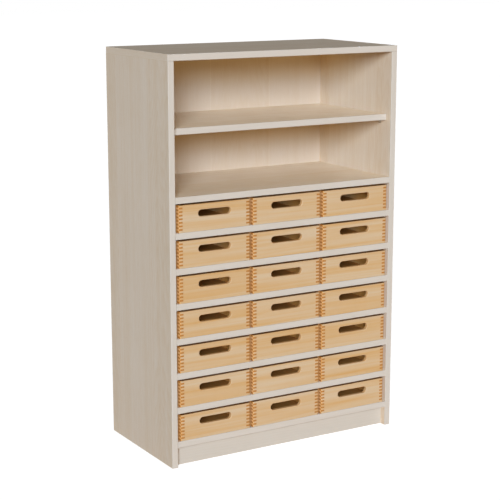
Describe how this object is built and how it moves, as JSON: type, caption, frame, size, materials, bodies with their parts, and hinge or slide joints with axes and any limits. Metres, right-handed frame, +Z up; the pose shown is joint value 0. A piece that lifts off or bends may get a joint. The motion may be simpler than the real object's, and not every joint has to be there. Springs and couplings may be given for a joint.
{
  "type": "classroom tray storage unit",
  "caption": "Board cabinet with an open upper part, a loose shelf, and rows of finger-jointed wooden trays with grip slots that pull out forwards.",
  "frame": {"origin": "on the floor, at the middle of the footprint", "axes": "+X to the viewer's right, +Y from the open front to the back, +Z up"},
  "size_m": [0.785, 0.4, 1.2055],
  "materials": {
    "decor_board": "pale birch decor on melamine-faced board, satin",
    "tray_pine": "clear-varnished solid pine, satin",
    "tray_plywood": "thin birch plywood, clear-varnished",
    "support_steel": "nickel-plated steel"
  },
  "bodies": {
    "cabinet": {"left_side": "decor_board", "right_side": "decor_board", "top_panel": "decor_board", "back_panel": "decor_board", "plinth": "decor_board", "bottom_shelf": "decor_board", "tray_shelf_1": "decor_board", "tray_shelf_2": "decor_board", "tray_shelf_3": "decor_board", "tray_shelf_4": "decor_board", "tray_shelf_5": "decor_board", "tray_shelf_6": "decor_board", "fixed_shelf": "decor_board", "loose_shelf": "decor_board", "shelf_support_front_left": "support_steel", "shelf_support_rear_left": "support_steel", "shelf_support_front_right": "support_steel", "shelf_support_rear_right": "support_steel"},
    "tray_r1_c1": {"tray_r1_c1_frame": "tray_pine", "tray_r1_c1_bottom": "tray_plywood"},
    "tray_r1_c2": {"tray_r1_c2_frame": "tray_pine", "tray_r1_c2_bottom": "tray_plywood"},
    "tray_r1_c3": {"tray_r1_c3_frame": "tray_pine", "tray_r1_c3_bottom": "tray_plywood"},
    "tray_r2_c1": {"tray_r2_c1_frame": "tray_pine", "tray_r2_c1_bottom": "tray_plywood"},
    "tray_r2_c2": {"tray_r2_c2_frame": "tray_pine", "tray_r2_c2_bottom": "tray_plywood"},
    "tray_r2_c3": {"tray_r2_c3_frame": "tray_pine", "tray_r2_c3_bottom": "tray_plywood"},
    "tray_r3_c1": {"tray_r3_c1_frame": "tray_pine", "tray_r3_c1_bottom": "tray_plywood"},
    "tray_r3_c2": {"tray_r3_c2_frame": "tray_pine", "tray_r3_c2_bottom": "tray_plywood"},
    "tray_r3_c3": {"tray_r3_c3_frame": "tray_pine", "tray_r3_c3_bottom": "tray_plywood"},
    "tray_r4_c1": {"tray_r4_c1_frame": "tray_pine", "tray_r4_c1_bottom": "tray_plywood"},
    "tray_r4_c2": {"tray_r4_c2_frame": "tray_pine", "tray_r4_c2_bottom": "tray_plywood"},
    "tray_r4_c3": {"tray_r4_c3_frame": "tray_pine", "tray_r4_c3_bottom": "tray_plywood"},
    "tray_r5_c1": {"tray_r5_c1_frame": "tray_pine", "tray_r5_c1_bottom": "tray_plywood"},
    "tray_r5_c2": {"tray_r5_c2_frame": "tray_pine", "tray_r5_c2_bottom": "tray_plywood"},
    "tray_r5_c3": {"tray_r5_c3_frame": "tray_pine", "tray_r5_c3_bottom": "tray_plywood"},
    "tray_r6_c1": {"tray_r6_c1_frame": "tray_pine", "tray_r6_c1_bottom": "tray_plywood"},
    "tray_r6_c2": {"tray_r6_c2_frame": "tray_pine", "tray_r6_c2_bottom": "tray_plywood"},
    "tray_r6_c3": {"tray_r6_c3_frame": "tray_pine", "tray_r6_c3_bottom": "tray_plywood"},
    "tray_r7_c1": {"tray_r7_c1_frame": "tray_pine", "tray_r7_c1_bottom": "tray_plywood"},
    "tray_r7_c2": {"tray_r7_c2_frame": "tray_pine", "tray_r7_c2_bottom": "tray_plywood"},
    "tray_r7_c3": {"tray_r7_c3_frame": "tray_pine", "tray_r7_c3_bottom": "tray_plywood"}
  },
  "joints": [
    {"name": "tray_r1_c1_slide", "type": "slide", "parent": "cabinet", "child": "tray_r1_c1", "axis": [0, -1, 0], "range_m": [0, 0.3]},
    {"name": "tray_r1_c2_slide", "type": "slide", "parent": "cabinet", "child": "tray_r1_c2", "axis": [0, -1, 0], "range_m": [0, 0.3]},
    {"name": "tray_r1_c3_slide", "type": "slide", "parent": "cabinet", "child": "tray_r1_c3", "axis": [0, -1, 0], "range_m": [0, 0.3]},
    {"name": "tray_r2_c1_slide", "type": "slide", "parent": "cabinet", "child": "tray_r2_c1", "axis": [0, -1, 0], "range_m": [0, 0.3]},
    {"name": "tray_r2_c2_slide", "type": "slide", "parent": "cabinet", "child": "tray_r2_c2", "axis": [0, -1, 0], "range_m": [0, 0.3]},
    {"name": "tray_r2_c3_slide", "type": "slide", "parent": "cabinet", "child": "tray_r2_c3", "axis": [0, -1, 0], "range_m": [0, 0.3]},
    {"name": "tray_r3_c1_slide", "type": "slide", "parent": "cabinet", "child": "tray_r3_c1", "axis": [0, -1, 0], "range_m": [0, 0.3]},
    {"name": "tray_r3_c2_slide", "type": "slide", "parent": "cabinet", "child": "tray_r3_c2", "axis": [0, -1, 0], "range_m": [0, 0.3]},
    {"name": "tray_r3_c3_slide", "type": "slide", "parent": "cabinet", "child": "tray_r3_c3", "axis": [0, -1, 0], "range_m": [0, 0.3]},
    {"name": "tray_r4_c1_slide", "type": "slide", "parent": "cabinet", "child": "tray_r4_c1", "axis": [0, -1, 0], "range_m": [0, 0.3]},
    {"name": "tray_r4_c2_slide", "type": "slide", "parent": "cabinet", "child": "tray_r4_c2", "axis": [0, -1, 0], "range_m": [0, 0.3]},
    {"name": "tray_r4_c3_slide", "type": "slide", "parent": "cabinet", "child": "tray_r4_c3", "axis": [0, -1, 0], "range_m": [0, 0.3]},
    {"name": "tray_r5_c1_slide", "type": "slide", "parent": "cabinet", "child": "tray_r5_c1", "axis": [0, -1, 0], "range_m": [0, 0.3]},
    {"name": "tray_r5_c2_slide", "type": "slide", "parent": "cabinet", "child": "tray_r5_c2", "axis": [0, -1, 0], "range_m": [0, 0.3]},
    {"name": "tray_r5_c3_slide", "type": "slide", "parent": "cabinet", "child": "tray_r5_c3", "axis": [0, -1, 0], "range_m": [0, 0.3]},
    {"name": "tray_r6_c1_slide", "type": "slide", "parent": "cabinet", "child": "tray_r6_c1", "axis": [0, -1, 0], "range_m": [0, 0.3]},
    {"name": "tray_r6_c2_slide", "type": "slide", "parent": "cabinet", "child": "tray_r6_c2", "axis": [0, -1, 0], "range_m": [0, 0.3]},
    {"name": "tray_r6_c3_slide", "type": "slide", "parent": "cabinet", "child": "tray_r6_c3", "axis": [0, -1, 0], "range_m": [0, 0.3]},
    {"name": "tray_r7_c1_slide", "type": "slide", "parent": "cabinet", "child": "tray_r7_c1", "axis": [0, -1, 0], "range_m": [0, 0.3]},
    {"name": "tray_r7_c2_slide", "type": "slide", "parent": "cabinet", "child": "tray_r7_c2", "axis": [0, -1, 0], "range_m": [0, 0.3]},
    {"name": "tray_r7_c3_slide", "type": "slide", "parent": "cabinet", "child": "tray_r7_c3", "axis": [0, -1, 0], "range_m": [0, 0.3]}
  ]
}
